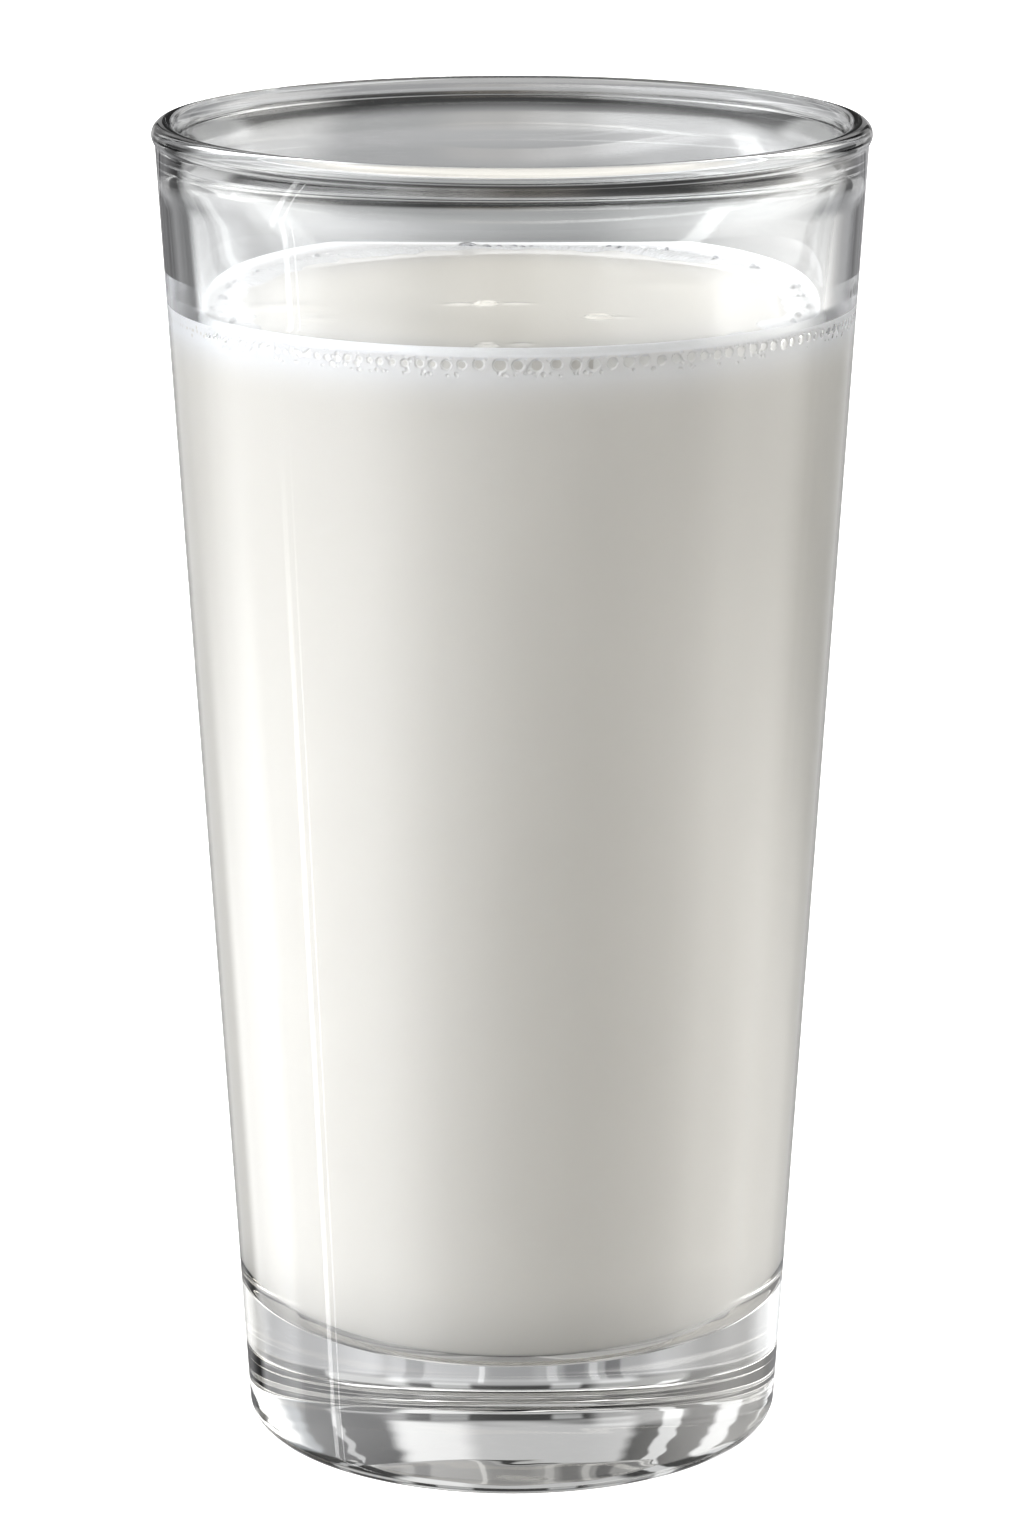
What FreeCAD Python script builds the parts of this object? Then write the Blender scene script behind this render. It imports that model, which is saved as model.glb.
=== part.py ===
# A glass of milk: a plain tapered tumbler, the milk that fills it to about 20 mm under
# the rim, and the ring of froth that stands on the milk against the wall.
#
# Millimetres. The origin is the middle of the underside, +Z is up, and the glass is
# turned about Z. The far side of the glass is +Y.

import FreeCAD, Part
import math
import os
import Sketcher

SIZES = [
    ("glass_height", 143.5, "underside of the foot to the top of the rim"),
    ("rim_diameter", 76.0, "widest size, over the rim bead"),
    ("base_diameter", 57.7, "outside of the wall, carried straight down to the underside"),
    ("bead_radius", 1.35, "half the thickness of the rounded rim"),
    ("bead_proud", 0.3, "how far the bead stands out from the wall below it"),
    ("rim_wall", 3.1, "wall thickness, carried straight up to the bead"),
    ("lip_wall", 2.3, "wall thickness where it runs into the bead"),
    ("lip_height", 18.0, "top of the rim to where the wall starts to thin"),
    ("floor_wall", 3.3, "wall thickness at the cavity floor"),
    ("floor_thickness", 12.6, "underside of the foot to the cavity floor"),
    ("heel_radius", 2.5, "rounding of the outer bottom edge"),
    ("cavity_corner", 12.0, "rounding where the cavity wall meets the floor"),
    ("punt_diameter", 43.0, "hollow in the underside, inside the ring that it stands on"),
    ("punt_depth", 1.5, "depth of that hollow at its middle"),
    ("punt_edge_radius", 0.8, "rounding of the hollow's edge"),
    ("milk_depth", 111.1, "cavity floor to the flat level of the milk"),
    ("froth_width", 4.8, "froth ring, from the wall inwards"),
    ("froth_height", 1.3, "froth against the wall, above the milk's level"),
    ("froth_lip", 0.15, "froth at its inner edge, above the milk's level"),
    ("bubble_radius", 0.5, "middling bubble in the row along the wall"),
    ("bubble_spread", 0.16, "how much larger or smaller the bubbles are"),
    ("bubble_clearance", 0.12, "bubble to the glass, and to the milk under it"),
    ("bubble_count", 48, "bubbles in the row along the wall"),
    ("large_bubble_radius", 1.05, "the one large bubble at the far side"),
    ("large_bubble_bearing", 99.0, "its bearing in degrees, turned from +X towards +Y"),
]

OUT_FOLDER = "parts"

# Places that several pieces share, as expressions on the sheet's named sizes.
BEAD_Z = "(Sizes.glass_height - Sizes.bead_radius)"
BEAD_X = "(Sizes.rim_diameter / 2 - Sizes.bead_radius)"
BASE_R = "(Sizes.base_diameter / 2)"
WALL_TOP_R = "(Sizes.rim_diameter / 2 - Sizes.bead_proud)"
FLOOR_Z = "Sizes.floor_thickness"
LEVEL_Z = "(Sizes.floor_thickness + Sizes.milk_depth)"


def between(start, end, height, low, high):
    """Expression for a straight line's radius at a height, from start at low to end at high."""
    return f"({start} + ({end} - {start}) * ({height} - {low}) / ({high} - {low}))"


OUTER_R_AT_FLOOR = between(BASE_R, WALL_TOP_R, FLOOR_Z, "0", BEAD_Z)
CAVITY_FLOOR_R = f"({OUTER_R_AT_FLOOR} - Sizes.floor_wall)"
CAVITY_TOP_R = f"({WALL_TOP_R} - Sizes.rim_wall)"
LIP_R = f"({WALL_TOP_R} - Sizes.lip_wall)"
LIP_Z = "(Sizes.glass_height - Sizes.lip_height)"


def cavity_radius(height):
    """Expression for the inside radius of the glass at a height."""
    return between(CAVITY_FLOOR_R, CAVITY_TOP_R, height, FLOOR_Z, BEAD_Z)


FROTH_FOOT_R = cavity_radius(LEVEL_Z)
FROTH_INNER_R = f"({FROTH_FOOT_R} - Sizes.froth_width)"
FROTH_TOP_Z = f"({LEVEL_Z} + Sizes.froth_height)"
FROTH_TOP_R = cavity_radius(FROTH_TOP_Z)
FROTH_LIP_Z = f"({LEVEL_Z} + Sizes.froth_lip)"


def make_sheet(doc):
    """The driving sizes, one row each, with a plain number, a name and a note."""
    sheet = doc.addObject("Spreadsheet::Sheet", "Sizes")
    for row, (alias, value, note) in enumerate(SIZES, start=1):
        sheet.set(f"A{row}", alias)
        sheet.set(f"B{row}", str(value))
        sheet.set(f"C{row}", note)
        sheet.setAlias(f"B{row}", alias)
    doc.recompute()
    return sheet


def make_body(doc, name):
    body = doc.addObject("PartDesign::Body", name)
    body.Label = name
    return body


def make_sketch(body, name):
    """An empty sketch on the body's own XZ plane: across is the radius, up is the height."""
    planes = [item for item in body.Origin.OriginFeatures if item.Role == "XZ_Plane"]
    sketch = body.newObject("Sketcher::SketchObject", name)
    sketch.AttachmentSupport = [(planes[0], "")]
    sketch.MapMode = "FlatFace"
    return sketch


def pin(sketch, edge, end, radius, height):
    """Fix one end of an edge at a radius and a height; None puts it on that axis."""
    for kind, expression, axis in (("DistanceX", radius, -2), ("DistanceY", height, -1)):
        if expression is None:
            sketch.addConstraint(Sketcher.Constraint("PointOnObject", edge, end, axis))
            continue
        size = value_of(sketch, expression)
        index = sketch.addConstraint(Sketcher.Constraint(kind, -1, 1, edge, end, size))
        sketch.setExpression(f"Constraints[{index}]", expression)


def value_of(sketch, expression):
    return 0.0 if expression is None else float(sketch.evalExpression(expression))


def draw_profile(sketch, corners, arc_after=None, arc_centre=None):
    """Close a profile through the corners, each a radius and a height.

    The edge that leaves corner arc_after is an arc. Its centre lies on the axis of the glass
    where arc_centre is "axis", and straight over its start where it is "over start".
    """
    points = [FreeCAD.Vector(value_of(sketch, r), value_of(sketch, z), 0) for r, z in corners]
    count = len(points)
    for number, start in enumerate(points):
        end = points[(number + 1) % count]
        if number == arc_after:
            sketch.addGeometry(make_arc(start, end, arc_centre), False)
        else:
            sketch.addGeometry(Part.LineSegment(start, end), False)
    arc = None if arc_after is None else sketch.Geometry[arc_after]
    for number, (radius, height) in enumerate(corners):
        end = start_of(arc, points[number]) if number == arc_after else 1
        pin(sketch, number, end, radius, height)
        before = (number - 1) % count
        meets = 3 - start_of(arc, points[before]) if before == arc_after else 2
        sketch.addConstraint(Sketcher.Constraint("Coincident", before, meets, number, end))
    if arc_centre == "axis":
        sketch.addConstraint(Sketcher.Constraint("PointOnObject", arc_after, 3, -2))
    if arc_centre == "over start":
        end = start_of(arc, points[arc_after])
        sketch.addConstraint(Sketcher.Constraint("Vertical", arc_after, 3, arc_after, end))


def make_arc(start, end, centre_rule):
    """A short arc from start to end with its centre by the rule of draw_profile."""
    across = end.x - start.x
    up = end.y - start.y
    reach = (across ** 2 + up ** 2) / (2 * abs(up))
    side = -1 if centre_rule == "axis" else 1
    centre = FreeCAD.Vector(start.x, start.y + side * reach, 0)
    first = math.atan2(start.y - centre.y, start.x - centre.x)
    last = math.atan2(end.y - centre.y, end.x - centre.x)
    circle = Part.Circle(centre, FreeCAD.Vector(0, 0, 1), reach)
    return Part.ArcOfCircle(circle, min(first, last), max(first, last))


def start_of(arc, point):
    """Which end of the arc, 1 or 2, lies at the point."""
    return 1 if arc.StartPoint.distanceToPoint(point) < arc.EndPoint.distanceToPoint(point) else 2


def turn(body, name, sketch, kind="PartDesign::Revolution"):
    """Turn a sketch about the axis of the glass, to add or, as a Groove, to cut."""
    feature = body.newObject(kind, name)
    feature.Profile = sketch
    feature.ReferenceAxis = (sketch, ["V_Axis"])
    feature.Angle = 360
    body.Document.recompute()
    return feature


def round_edge(body, name, base, radius, height, size):
    """Round the circular edge that has this radius and height with the named size."""
    wanted = (value_of(base, radius), value_of(base, height))
    edge_names = []
    for number, edge in enumerate(base.Shape.Edges, start=1):
        if edge.Degenerated or not isinstance(edge.Curve, Part.Circle):
            continue
        found = (edge.Curve.Radius, edge.Curve.Center.z)
        if max(abs(found[0] - wanted[0]), abs(found[1] - wanted[1])) < 1e-4:
            edge_names.append(f"Edge{number}")
    if not edge_names:
        raise RuntimeError(f"{name}: no edge of radius {wanted[0]:.3f} at {wanted[1]:.3f}")
    fillet = body.newObject("PartDesign::Fillet", name)
    fillet.Base = (base, edge_names)
    fillet.setExpression("Radius", f"Sizes.{size}")
    body.Document.recompute()
    return fillet


def make_tumbler(doc):
    """The glass: a straight taper outside and inside, a thick foot and a thinned, rounded rim."""
    body = make_body(doc, "tumbler")

    wall_sketch = make_sketch(body, "WallProfile")
    draw_profile(wall_sketch, [
        (None, None),
        (BASE_R, None),
        (WALL_TOP_R, BEAD_Z),
        (LIP_R, BEAD_Z),
        (cavity_radius(LIP_Z), LIP_Z),
        (CAVITY_FLOOR_R, FLOOR_Z),
        (None, FLOOR_Z),
    ])
    wall = turn(body, "Wall", wall_sketch)

    bead_sketch = make_sketch(body, "BeadProfile")
    bead_centre = FreeCAD.Vector(value_of(wall, BEAD_X), value_of(wall, BEAD_Z), 0)
    bead_radius = value_of(wall, "Sizes.bead_radius")
    bead_sketch.addGeometry(Part.Circle(bead_centre, FreeCAD.Vector(0, 0, 1), bead_radius), False)
    pin(bead_sketch, 0, 3, BEAD_X, BEAD_Z)
    size = bead_sketch.addConstraint(Sketcher.Constraint("Radius", 0, bead_radius))
    bead_sketch.setExpression(f"Constraints[{size}]", "Sizes.bead_radius")
    bead = turn(body, "Bead", bead_sketch)

    punt_sketch = make_sketch(body, "PuntProfile")
    draw_profile(
        punt_sketch,
        [(None, "Sizes.punt_depth"), ("Sizes.punt_diameter / 2", None), (None, None)],
        arc_after=0,
        arc_centre="axis",
    )
    punt = turn(body, "Punt", punt_sketch, kind="PartDesign::Groove")
    if punt.Shape.Volume >= bead.Shape.Volume:
        raise RuntimeError("the hollow in the underside cuts nothing")

    heel = round_edge(body, "Heel", punt, BASE_R, None, "heel_radius")
    corner = round_edge(body, "CavityCorner", heel, CAVITY_FLOOR_R, FLOOR_Z, "cavity_corner")
    round_edge(body, "PuntEdge", corner, "Sizes.punt_diameter / 2", None, "punt_edge_radius")
    return body


def make_milk(doc):
    """The milk: it fills the cavity, corner included, up to its flat level."""
    body = make_body(doc, "milk")
    sketch = make_sketch(body, "MilkProfile")
    draw_profile(sketch, [
        (None, FLOOR_Z),
        (CAVITY_FLOOR_R, FLOOR_Z),
        (cavity_radius(LEVEL_Z), LEVEL_Z),
        (None, LEVEL_Z),
    ])
    fill = turn(body, "Fill", sketch)
    round_edge(body, "MilkCorner", fill, CAVITY_FLOOR_R, FLOOR_Z, "cavity_corner")
    return body


def make_froth_ring(doc):
    """The froth's ring: flat on the milk, against the wall, and hollow on top."""
    body = make_body(doc, "FrothRing")
    sketch = make_sketch(body, "FrothProfile")
    draw_profile(
        sketch,
        [
            (FROTH_INNER_R, FROTH_LIP_Z),
            (FROTH_TOP_R, FROTH_TOP_Z),
            (FROTH_FOOT_R, LEVEL_Z),
            (FROTH_INNER_R, LEVEL_Z),
        ],
        arc_after=0,
        arc_centre="over start",
    )
    turn(body, "Ring", sketch)
    return body


def froth_surface(radius):
    """Expression for the height of the froth's hollow top at a radius."""
    rise = f"({FROTH_TOP_Z} - {FROTH_LIP_Z})"
    run = f"({FROTH_TOP_R} - {FROTH_INNER_R})"
    reach = f"(({run} ^ 2 + {rise} ^ 2) / (2 * {rise}))"
    return f"({FROTH_LIP_Z} + {reach} - sqrt({reach} ^ 2 - ({radius} - {FROTH_INNER_R}) ^ 2))"


def make_bubble(doc, name, radius, bearing):
    """A round bubble near the wall, half sunk in the froth and clear of glass and milk."""
    bubble = doc.addObject("Part::Sphere", name)
    bubble.Placement.Rotation = FreeCAD.Rotation(FreeCAD.Vector(0, 0, 1), 1)
    bubble.setExpression("Placement.Rotation.Angle", bearing)
    bubble.setExpression("Radius", radius)
    out = f"({FROTH_FOOT_R} - {radius} - Sizes.bubble_clearance)"
    lowest = f"({LEVEL_Z} + {radius} + Sizes.bubble_clearance)"
    bubble.setExpression("Placement.Base.x", f"{out} * cos({bearing})")
    bubble.setExpression("Placement.Base.y", f"{out} * sin({bearing})")
    bubble.setExpression("Placement.Base.z", f"max({froth_surface(out)}; {lowest})")
    return bubble


def make_froth(doc, sheet):
    """The froth ring with its row of uneven bubbles, joined into one solid."""
    ring = make_froth_ring(doc)
    count = int(sheet.get("bubble_count"))
    pieces = [ring]
    for number in range(count):
        swell = math.sin(2.3 * number) * math.cos(0.7 * number)
        stray = 0.3 * math.sin(4.1 * number)
        bearing = f"({360.0 * (number + 0.5 + stray) / count:.4f} deg)"
        radius = f"(Sizes.bubble_radius + Sizes.bubble_spread * {swell:.4f})"
        if abs(360.0 * (number + 0.5) / count - sheet.get("large_bubble_bearing")) < 360.0 / count:
            continue
        pieces.append(make_bubble(doc, f"Bubble{number:02d}", radius, bearing))
    bearing = "(Sizes.large_bubble_bearing * 1 deg)"
    pieces.append(make_bubble(doc, "LargeBubble", "Sizes.large_bubble_radius", bearing))
    doc.recompute()
    froth = doc.addObject("Part::MultiFuse", "froth")
    froth.Label = "froth"
    froth.Shapes = pieces
    return froth


def check_document(doc, sub_parts):
    """Stop if any object failed to build or any sub-part isn't one sound solid."""
    for item in doc.Objects:
        if "Invalid" in item.State or "Error" in item.State:
            raise RuntimeError(f"{item.Label} is {item.State}")
    for item in sub_parts:
        shape = item.Shape
        if shape.isNull() or not shape.isValid() or len(shape.Solids) != 1:
            raise RuntimeError(f"{item.Label} is not one valid solid")


def main():
    doc = FreeCAD.newDocument("GlassOfMilk")
    sheet = make_sheet(doc)
    sub_parts = [make_tumbler(doc), make_milk(doc), make_froth(doc, sheet)]
    doc.recompute()
    check_document(doc, sub_parts)
    os.makedirs(OUT_FOLDER, exist_ok=True)
    for item in sub_parts:
        item.Shape.exportStep(os.path.join(OUT_FOLDER, f"{item.Label}.step"))
        box = item.Shape.BoundBox
        print(f"{item.Label}: {item.Shape.Volume:.1f} mm3, z {box.ZMin:.3f} to {box.ZMax:.3f}")


main()
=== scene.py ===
"""A glass of milk: clear tumbler, milk, froth and bubbles, each worked out as a surface.

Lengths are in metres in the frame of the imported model: the glass stands on z = 0, is turned
about Z, and its far side is +Y.
"""

import bmesh
import bpy
import numpy as np
from bpy.props import FloatProperty, FloatVectorProperty, PointerProperty
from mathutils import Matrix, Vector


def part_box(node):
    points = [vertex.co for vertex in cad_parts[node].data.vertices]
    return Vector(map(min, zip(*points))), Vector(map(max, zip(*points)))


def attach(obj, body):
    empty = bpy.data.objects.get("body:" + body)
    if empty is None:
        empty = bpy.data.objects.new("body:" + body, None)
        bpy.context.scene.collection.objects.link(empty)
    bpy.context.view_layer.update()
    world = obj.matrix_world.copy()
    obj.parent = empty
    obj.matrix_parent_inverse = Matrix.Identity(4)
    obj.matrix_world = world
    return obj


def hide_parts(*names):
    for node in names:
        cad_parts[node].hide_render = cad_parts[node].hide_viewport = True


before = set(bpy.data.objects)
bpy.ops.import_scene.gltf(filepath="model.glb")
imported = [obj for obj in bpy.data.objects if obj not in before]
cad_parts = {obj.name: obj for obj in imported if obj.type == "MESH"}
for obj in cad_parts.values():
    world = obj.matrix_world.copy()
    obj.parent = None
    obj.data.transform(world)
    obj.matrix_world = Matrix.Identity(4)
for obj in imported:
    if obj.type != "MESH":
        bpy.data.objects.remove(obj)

bl_info = {
    "name": "Glass of milk",
    "version": (1, 0, 0),
    "blender": (4, 5, 0),
    "location": "View3D > Sidebar > Milk",
    "description": "Builds a clear tumbler of milk with froth, bubbles and a pale studio",
    "category": "Add Mesh",
}

MM = 0.001
TAU = 2 * np.pi
GLASS_COLUMNS = 448
LACE_COLUMNS = 2700
RING_COLUMNS = 1800
BODY = "root"
GLASS_IOR = 1.5
MILK_IOR = 1.35

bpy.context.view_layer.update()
GLASS_LOW, GLASS_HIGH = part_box("tumbler")
MILK_LOW, MILK_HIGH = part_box("milk")
FROTH_LOW, FROTH_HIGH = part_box("froth")


def length(name, description, default):
    """A length in millimetres that shows in the scene's own unit."""
    return FloatProperty(name=name, description=description, default=default * MM,
                         min=0.0, precision=5, subtype="DISTANCE", unit="LENGTH")


def tint(name, description, default):
    """A colour that a user may pick."""
    return FloatVectorProperty(name=name, description=description, default=default,
                               size=3, min=0.0, max=1.0, subtype="COLOR")


class GlassSettings(bpy.types.PropertyGroup):
    height: length("Height", "Underside to the top of the rim", GLASS_HIGH.z / MM)
    rim_radius: length("Rim radius", "Over the rounded rim", GLASS_HIGH.x / MM)
    base_radius: length("Base radius", "Outer wall carried down to the underside", 28.85)
    bead_radius: length("Bead radius", "Half the thickness of the rounded rim", 1.35)
    bead_proud: length("Bead stands out", "From the wall below it", 0.3)
    rim_wall: length("Wall at the rim", "Wall carried straight up to the bead", 3.1)
    lip_wall: length("Lip wall", "Wall where it runs into the bead", 2.3)
    lip_height: length("Lip height", "Rim's top to where the wall starts to thin", 18.0)
    lip_blend: length("Lip blend", "Rounding inside, where the wall starts to thin", 20.0)
    floor_wall: length("Wall at the floor", "Wall thickness at the cavity floor", 3.3)
    floor: length("Floor", "Underside to the cavity floor", 12.6)
    heel: length("Heel", "Rounding of the outer bottom edge", 2.5)
    corner: length("Inner corner", "Rounding between cavity wall and floor", 12.0)
    punt_radius: length("Hollow's radius", "Hollow in the underside", 21.5)
    punt_depth: length("Hollow's depth", "At the middle of the underside", 1.5)
    waviness: length("Waviness", "Slow unevenness of the pressed underside", 0.035)
    tint: tint("Glass tint", "Colour of the clear glass", (0.985, 0.995, 0.992))


class MilkSettings(bpy.types.PropertyGroup):
    reach: length("Reach into the wall", "Closes the gap between milk and glass", 0.12)
    side_colour: tint("Milk", "Milk against the glass", (0.765, 0.75, 0.715))
    top_colour: tint("Milk surface", "Open surface of the milk", (0.77, 0.752, 0.712))


class FrothSettings(bpy.types.PropertyGroup):
    width: length("Width", "Froth ring, from the wall inwards", 4.8)
    rise: length("Rise", "Froth against the wall, above the milk", 1.3)
    drop: length("Drop", "Bubbly band against the wall, below the milk's level", 2.1)
    overlap: length("Overlap", "Bubbly band against the wall, above the milk's level", 0.36)
    pearl: length("Bubble radius", "Large bubble pressed against the glass", 0.58)
    colour: tint("Froth", "Fine froth", (0.91, 0.925, 0.96))


class StudioSettings(bpy.types.PropertyGroup):
    room: FloatProperty(name="Room", description="Even dim light between the tent's lights",
                        default=0.05, min=0.0)


# ---------------------------------------------------------------- mesh helpers


def turned_mesh(name, radius, height, angle, closed=False, poles=(True, True)):
    """A surface of turning: point (i, j) is (R cos A, R sin A, Z) with R and Z taken from
    row i and column j and A the angle of column j. Rows run along the profile, and columns
    go once round the axis. A pole row shrinks to one point; closed joins last row to first.
    """
    rows, columns = radius.shape
    points = np.stack([radius * np.cos(angle), radius * np.sin(angle), height], axis=-1)
    index = np.arange(rows * columns).reshape(rows, columns)
    here = index if closed else index[:-1]
    above = np.roll(index, -1, axis=0) if closed else index[1:]
    quads = np.stack([here, np.roll(here, -1, axis=1), np.roll(above, -1, axis=1), above],
                     axis=-1).reshape(-1, 4)
    points = points.reshape(-1, 3)
    if not closed:
        for is_pole, row in zip(poles, (index[0], index[-1])):
            if is_pole:
                points[row] = points[row].mean(axis=0)
    return mesh_from(name, points, quads)


def mesh_from(name, points, quads):
    """An object from points and four-cornered faces, with its doubled points merged."""
    mesh = bpy.data.meshes.new(name)
    mesh.vertices.add(len(points))
    mesh.vertices.foreach_set("co", points.astype(np.float32).ravel())
    mesh.loops.add(quads.size)
    mesh.loops.foreach_set("vertex_index", quads.astype(np.int32).ravel())
    mesh.polygons.add(len(quads))
    mesh.polygons.foreach_set("loop_start", np.arange(0, quads.size, 4, dtype=np.int32))
    mesh.polygons.foreach_set("loop_total", np.full(len(quads), 4, dtype=np.int32))
    mesh.update(calc_edges=True)
    mesh.validate()
    piece = bpy.data.objects.new(name, mesh)
    bpy.context.scene.collection.objects.link(piece)
    merge_doubles(piece)
    piece.data.polygons.foreach_set("use_smooth", np.ones(len(piece.data.polygons), bool))
    return piece


def merge_doubles(piece, distance=1e-7):
    """Merge points that lie together, which closes poles."""
    work = bmesh.new()
    work.from_mesh(piece.data)
    bmesh.ops.remove_doubles(work, verts=work.verts, dist=distance)
    work.to_mesh(piece.data)
    work.free()


def finish_piece(piece, material, node=None):
    """Give the piece its material, body and slot, and let it stand for a CAD node."""
    materials = material if isinstance(material, (list, tuple)) else [material]
    for each in materials:
        piece.data.materials.append(each)
    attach(piece, BODY)
    if node:
        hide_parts(node)
    return piece


def line(start, end, steps):
    """Points from start up to but without end, evenly spaced."""
    part = np.arange(steps)[:, None] / steps
    return np.asarray(start) + part * (np.asarray(end) - np.asarray(start))


def arc(centre, radius, first, last, steps):
    """Points of a circle's arc from the first angle up to but without the last, in radians."""
    turn = first + np.arange(steps) / steps * (last - first)
    return np.stack([centre[0] + radius * np.cos(turn), centre[1] + radius * np.sin(turn)], 1)


def even_bearings(columns):
    """Bearings of evenly spaced columns, once round."""
    return np.arange(columns) / columns * TAU


def hashed(seed, count):
    """Fixed random numbers between 0 and 1."""
    return np.random.default_rng(seed).random(count)


def smooth_noise(angle, seed, lowest, highest, strength=0.5):
    """Sum of cosines of whole frequencies with seeded phases: a closed wavy line of size 1."""
    frequencies = np.arange(lowest, highest)
    phases = hashed(seed, len(frequencies)) * TAU
    weights = frequencies ** -strength
    waves = np.cos(np.multiply.outer(angle, frequencies) + phases) * weights
    return waves.sum(axis=-1) / np.sqrt((weights ** 2).sum() / 2)


# ---------------------------------------------------------------- shape of the glass


class Walls:
    """The straight outer and inner lines of the glass and the roundings between them."""

    def __init__(self, glass):
        self.glass = glass
        self.bead_z = glass.height - glass.bead_radius
        self.bead_x = glass.rim_radius - glass.bead_radius
        self.top = glass.rim_radius - glass.bead_proud
        self.outer_slope = (self.top - glass.base_radius) / self.bead_z
        self.cavity_floor = self.outer(glass.floor) - glass.floor_wall
        cavity_top = self.top - glass.rim_wall
        self.inner_slope = (cavity_top - self.cavity_floor) / (self.bead_z - glass.floor)

    def outer(self, z):
        """Radius of the outer wall at a height."""
        return self.glass.base_radius + self.outer_slope * z

    def inner(self, z):
        """Radius of the straight inner wall at a height."""
        return self.cavity_floor + self.inner_slope * (z - self.glass.floor)

    def corner_centre(self, radius, slope, wall_radius, z):
        """Centre of a rounding between a flat at z and a wall that passes its edge there."""
        lean = np.arctan(slope)
        return (wall_radius - radius * (1 - np.sin(lean)) / np.cos(lean), z + radius), lean

    def bead_meets(self, slope, radius_there, sign):
        """Where a wall line, radius_there at the bead's middle, meets the bead's circle."""
        gap = sign * (radius_there - self.bead_x)
        lean = sign * slope
        bead = self.glass.bead_radius
        half = gap * lean
        steep = 1 + lean ** 2
        drop = (half + np.sqrt(half ** 2 - steep * (gap ** 2 - bead ** 2))) / steep
        return radius_there - slope * drop, self.bead_z - drop


def glass_profile(glass):
    """Underside hollow, foot, heel, outer wall, bead, thinned lip, inner wall, corner, floor."""
    walls = Walls(glass)
    hollow = (glass.punt_radius ** 2 + glass.punt_depth ** 2) / (2 * glass.punt_depth)
    spread = np.arcsin(glass.punt_radius / hollow)
    underside = arc((0, glass.punt_depth - hollow), hollow, np.pi / 2, np.pi / 2 - spread, 34)
    heel_centre, lean = walls.corner_centre(glass.heel, walls.outer_slope, glass.base_radius, 0)
    heel = arc(heel_centre, glass.heel, -np.pi / 2, -lean, 12)
    outer_start = heel_centre + glass.heel * np.array([np.cos(-lean), np.sin(-lean)])
    outer_end = np.array(walls.bead_meets(walls.outer_slope, walls.top, 1))
    lip_radius = walls.top - glass.lip_wall
    lip_z = glass.height - glass.lip_height
    lip_slope = (lip_radius - walls.inner(lip_z)) / (walls.bead_z - lip_z)
    lip_start = np.array(walls.bead_meets(lip_slope, lip_radius, -1))
    bead_middle = np.array([walls.bead_x, walls.bead_z])
    to_outer, to_lip = outer_end - bead_middle, lip_start - bead_middle
    first = np.arctan2(to_outer[1], to_outer[0])
    last = np.arctan2(to_lip[1], to_lip[0]) % TAU
    bead = arc(bead_middle, glass.bead_radius, first, last, 30)
    corner_centre, lean_in = walls.corner_centre(
        glass.corner, walls.inner_slope, walls.cavity_floor, glass.floor)
    corner_start = corner_centre + glass.corner * np.array([np.cos(-lean_in), np.sin(-lean_in)])
    lip_break = np.array([walls.inner(lip_z), lip_z])
    blend = glass.lip_blend * np.tan((np.arctan(lip_slope) - np.arctan(walls.inner_slope)) / 2)
    up = (lip_start - lip_break) / np.linalg.norm(lip_start - lip_break)
    down = (corner_start - lip_break) / np.linalg.norm(corner_start - lip_break)
    share_of_blend = np.linspace(0, 1, 12, endpoint=False)[:, None]
    blend_curve = ((1 - share_of_blend) ** 2 * (lip_break + blend * up)
                   + 2 * share_of_blend * (1 - share_of_blend) * lip_break
                   + share_of_blend ** 2 * (lip_break + blend * down))
    return np.concatenate([
        underside,
        line((glass.punt_radius, 0), (heel_centre[0], 0), 8),
        heel,
        line(outer_start, outer_end, 24),
        bead,
        line(lip_start, lip_break + blend * up, 4),
        blend_curve,
        line(lip_break + blend * down, corner_start, 24),
        arc(corner_centre, glass.corner, -lean_in, -np.pi / 2, 40),
        line((corner_centre[0], glass.floor), (0, glass.floor), 12),
        [(0, glass.floor)],
    ])


def build_glass(glass):
    """The tumbler, turned from its profile; the underside is slightly uneven."""
    profile = glass_profile(glass)
    angle = even_bearings(GLASS_COLUMNS)
    radius = np.repeat(profile[:, :1], GLASS_COLUMNS, axis=1)
    height = np.repeat(profile[:, 1:], GLASS_COLUMNS, axis=1)
    heel_end = glass.base_radius - glass.heel
    below = (height < glass.punt_depth * 1.01) & (radius < heel_end)
    ease = np.clip((heel_end - radius) / (2 * MM), 0, 1) * np.clip(radius / (6 * MM), 0, 1)
    across = radius * np.cos(angle)
    along = radius * np.sin(angle)
    wave = (np.sin(across / (2.1 * MM) + 1.7 * np.sin(along / (3.4 * MM)))
            * np.cos(along / (1.3 * MM) + 0.9 * np.sin(across / (4.1 * MM))))
    height = np.where(below, height + glass.waviness * ease * (0.5 + 0.5 * wave), height)
    return turned_mesh("tumbler_glass", radius, height, angle)


# ---------------------------------------------------------------- shape of the milk


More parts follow.
